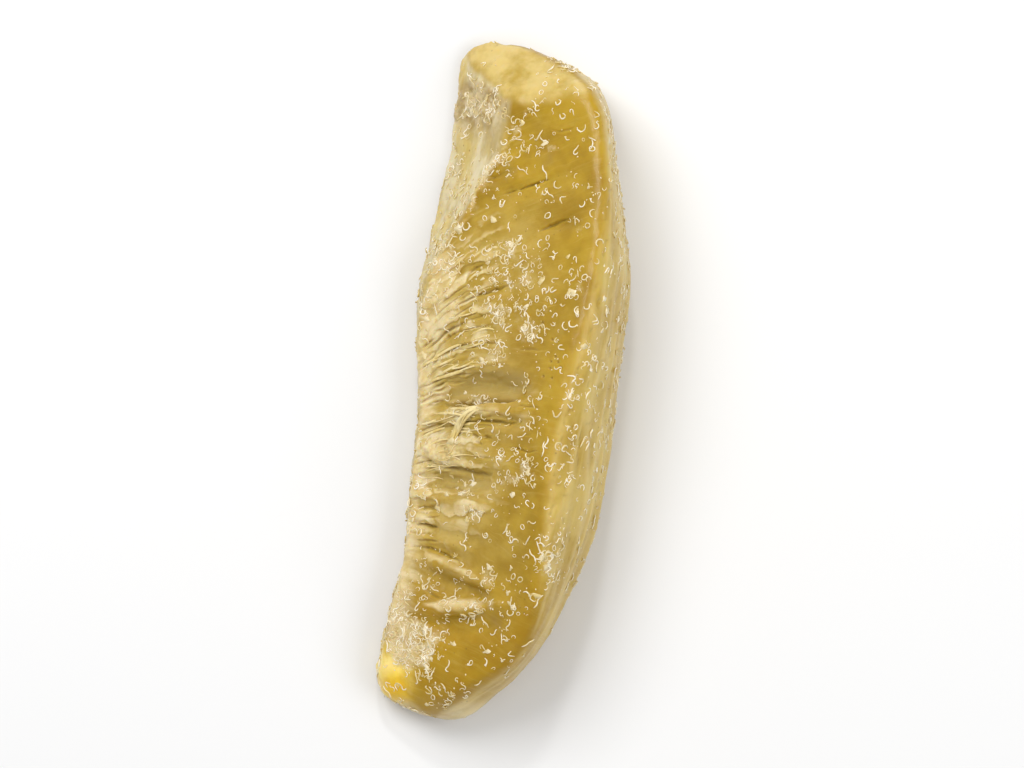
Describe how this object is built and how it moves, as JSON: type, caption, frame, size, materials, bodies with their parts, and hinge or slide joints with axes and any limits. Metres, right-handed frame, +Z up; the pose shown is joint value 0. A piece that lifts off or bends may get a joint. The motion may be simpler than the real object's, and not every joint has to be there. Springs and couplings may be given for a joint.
{
  "type": "roasted breadfruit wedge",
  "caption": "Peeled, cored lengthwise wedge of roasted breadfruit with torn fibre slits and a light frost, lying on one cut face.",
  "frame": {"origin": "middle of the wedge's box, on the plane of the cut face that it rests on", "axes": "+X from the pared core strip to the peeled rind side, +Y along the fruit's core from the blossom end to the stem end, +Z up"},
  "size_m": [0.0558, 0.1808, 0.0451],
  "materials": {
    "roasted_flesh": "moist golden roasted flesh, fibrous, softly glossy under a thin icy glaze",
    "frost": "pale translucent ice crystals, sparkling"
  },
  "bodies": {
    "root": {"breadfruit_wedge": "roasted_flesh"}
  },
  "joints": []
}
